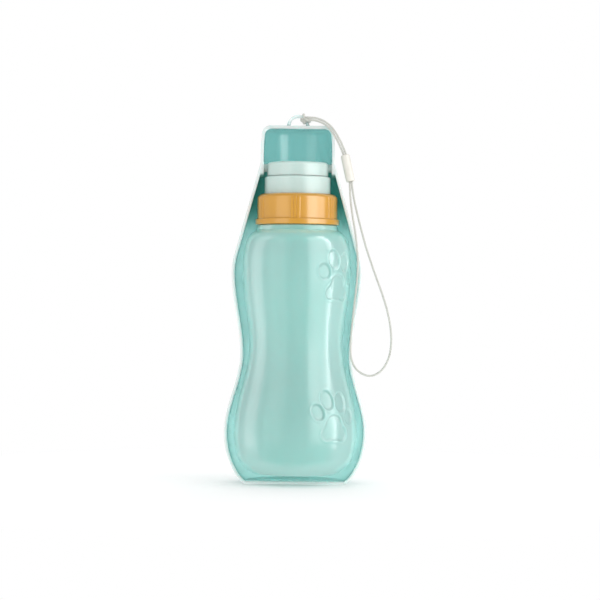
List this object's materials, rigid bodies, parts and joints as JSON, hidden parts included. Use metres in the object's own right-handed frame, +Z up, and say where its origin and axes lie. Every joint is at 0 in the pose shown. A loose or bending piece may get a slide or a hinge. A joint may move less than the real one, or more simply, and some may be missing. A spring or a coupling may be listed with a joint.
{
  "type": "dog travel water bottle",
  "caption": "Round squeeze bottle with a screw collar and twist mouthpiece, carried in a hinged trough that swings out as a drinking bowl, with a wrist cord.",
  "frame": {"origin": "point of the bottle's axis on the surface that the tray's flat foot stands on", "axes": "+Z up along the bottle's axis, -Y out of the tray's open side, +X to the right seen from that side"},
  "size_m": [0.1035, 0.082, 0.2305],
  "materials": {
    "bottle_plastic": "frosted translucent aqua, satin",
    "collar_plastic": "satin moulded orange",
    "mouthpiece_plastic": "pale mint, satin",
    "silicone": "soft white silicone",
    "tray_plastic": "translucent aqua, semi-gloss",
    "cord": "fine braided polyester",
    "sleeve_plastic": "pale satin plastic"
  },
  "bodies": {
    "bottle": {"bottle": "bottle_plastic"},
    "mouthpiece": {"spout_base": "mouthpiece_plastic", "neck_gasket": "silicone", "valve_seal": "silicone"},
    "collar": {"screw_collar": "collar_plastic"},
    "twist_cap": {"swivel_cap": "mouthpiece_plastic", "swivel_o_ring": "silicone"},
    "tray": {"drinking_tray": "tray_plastic", "lanyard_hitch": "cord", "lanyard_lead": "cord", "lanyard_sleeve": "sleeve_plastic", "wrist_loop": "cord"}
  },
  "joints": [
    {"name": "head_lift", "type": "slide", "parent": "bottle", "child": "mouthpiece", "axis": [0, 0, 1], "range_m": [0, 0.003]},
    {"name": "collar_turn", "type": "hinge", "parent": "mouthpiece", "child": "collar", "pos_m": [0, 0, 0.17], "axis": [0, 0, 1], "range_deg": [0, 360]},
    {"name": "cap_swivel", "type": "hinge", "parent": "mouthpiece", "child": "twist_cap", "pos_m": [0, 0, 0.195], "axis": [0, 0, 1], "range_deg": [0, 90]},
    {"name": "tray_hinge", "type": "hinge", "parent": "twist_cap", "child": "tray", "pos_m": [0, 0, 0.1954], "axis": [1, 0, 0], "range_deg": [0, 140]}
  ],
  "couplings": [
    {"joint": "collar_turn", "follows": "head_lift", "rad_per_m": 2094.4}
  ]
}
